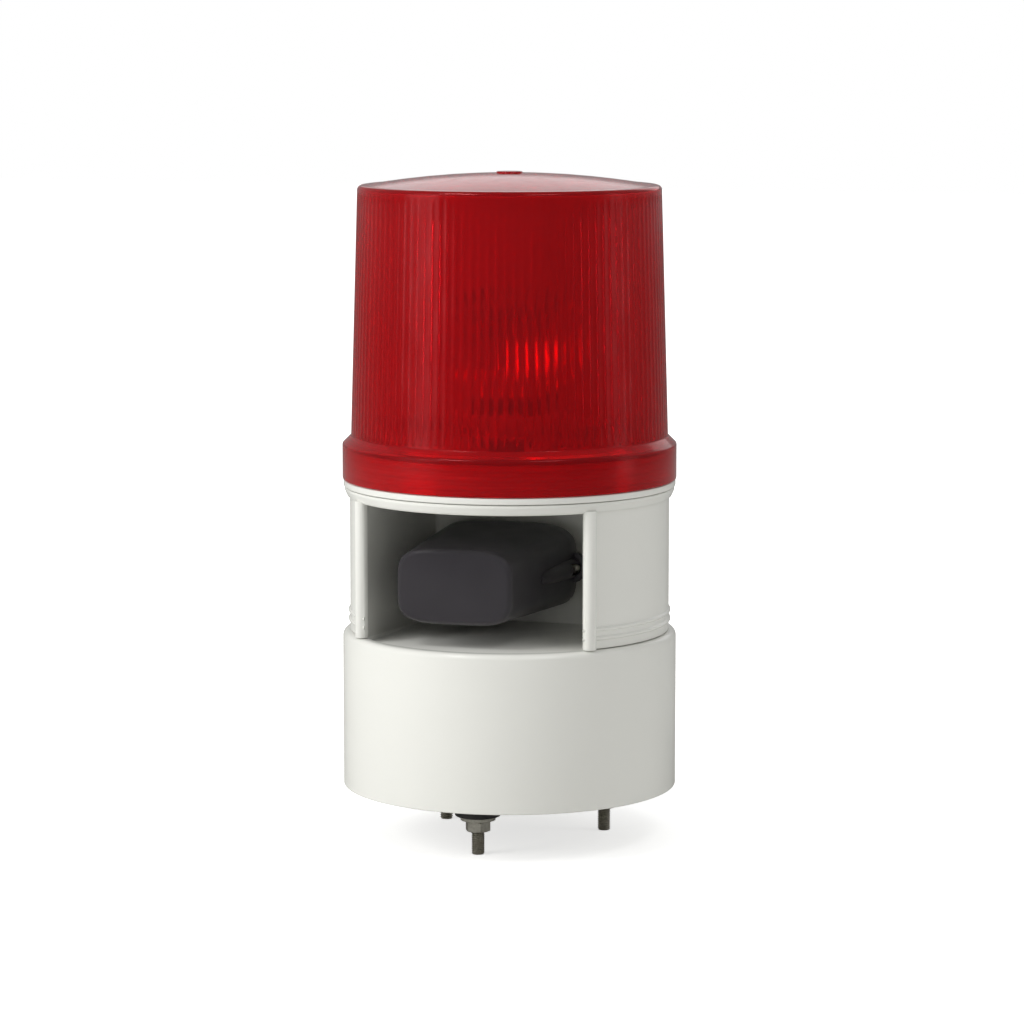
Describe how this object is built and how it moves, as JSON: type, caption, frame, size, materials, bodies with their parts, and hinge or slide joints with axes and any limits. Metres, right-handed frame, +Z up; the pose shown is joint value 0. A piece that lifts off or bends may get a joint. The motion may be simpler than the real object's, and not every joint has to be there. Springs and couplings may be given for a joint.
{
  "type": "alarm siren",
  "caption": "Alarm siren: rotating red beacon under a screw-on lens, siren in a windowed drum, round base on three bolts.",
  "frame": {"origin": "centre of the plane that the base's rim rests on, where the siren meets its panel", "axes": "+Z up along the axis that the beacon turns on; -Y is the front, where the siren's window is"},
  "size_m": [0.15, 0.1496, 0.3001],
  "materials": {
    "white_plastic": "satin gloss",
    "red_lens": "clear, fluted inside",
    "black_plastic": "satin",
    "rubber": "matte",
    "nylon": "satin",
    "chrome": "mirror",
    "brass": "bright",
    "glass": "clear",
    "board_green": "satin",
    "ferrite": "matte",
    "aluminium": "satin",
    "diaphragm": "matte",
    "zinc_steel": "zinc plated"
  },
  "bodies": {
    "base": {"base_cup": "white_plastic", "base_gasket": "rubber", "base_plate": "zinc_steel", "bearing_sleeve": "nylon", "board_screw_1": "zinc_steel", "board_screw_2": "zinc_steel", "board_screw_3": "zinc_steel", "bulb_cap": "brass", "bulb_glass": "glass", "bulb_socket": "black_plastic", "cable_grommet": "rubber", "capacitor": "aluminium", "deck_screw_1": "zinc_steel", "deck_screw_2": "zinc_steel", "deck_screw_3": "zinc_steel", "driver_diaphragm": "diaphragm", "driver_frame": "black_plastic", "driver_magnet": "ferrite", "flat_washer_1": "zinc_steel", "flat_washer_2": "zinc_steel", "flat_washer_3": "zinc_steel", "heat_sink": "aluminium", "hex_nut_1": "zinc_steel", "hex_nut_2": "zinc_steel", "hex_nut_3": "zinc_steel", "housing_screw_1": "zinc_steel", "housing_screw_2": "zinc_steel", "housing_screw_3": "zinc_steel", "lamp_base": "white_plastic", "mechanism_plate": "zinc_steel", "mechanism_screw_1": "zinc_steel", "mechanism_screw_2": "zinc_steel", "mechanism_screw_3": "zinc_steel", "motor": "zinc_steel", "motor_screw_1": "zinc_steel", "motor_screw_2": "zinc_steel", "mounting_bolt_1": "zinc_steel", "mounting_bolt_2": "zinc_steel", "mounting_bolt_3": "zinc_steel", "plate_screw_1": "zinc_steel", "plate_screw_2": "zinc_steel", "plate_screw_3": "zinc_steel", "rubber_washer_1": "rubber", "rubber_washer_2": "rubber", "rubber_washer_3": "rubber", "siren_hood": "black_plastic", "siren_housing": "white_plastic", "siren_screw_left": "zinc_steel", "siren_screw_right": "zinc_steel", "sound_board": "board_green", "terminal_block": "board_green", "transformer": "ferrite"},
    "gasket": {"lens_gasket": "rubber"},
    "lens": {"lens": "red_lens"},
    "reflector": {"reflector_gear": "nylon", "reflector": "chrome", "reflector_screw_1": "zinc_steel", "reflector_screw_2": "zinc_steel"},
    "motor_rotor": {"motor_shaft": "zinc_steel", "drive_pinion": "brass"}
  },
  "joints": [
    {"name": "lens_turn", "type": "hinge", "parent": "base", "child": "gasket", "pos_m": [0, 0, 0.1389], "axis": [0, 0, 1], "range_deg": [0, 720]},
    {"name": "lens_lift", "type": "slide", "parent": "gasket", "child": "lens", "axis": [0, 0, 1], "range_m": [0, 0.012]},
    {"name": "reflector_spin", "type": "hinge", "parent": "base", "child": "reflector", "pos_m": [0, 0, 0.162], "axis": [0, 0, 1], "continuous": true},
    {"name": "motor_spin", "type": "hinge", "parent": "base", "child": "motor_rotor", "pos_m": [0, 0.023, 0.162], "axis": [0, 0, 1], "continuous": true}
  ],
  "couplings": [
    {"joint": "lens_lift", "follows": "lens_turn", "m_per_rad": 0.00095493},
    {"joint": "motor_spin", "follows": "reflector_spin", "ratio": -2.8333}
  ]
}
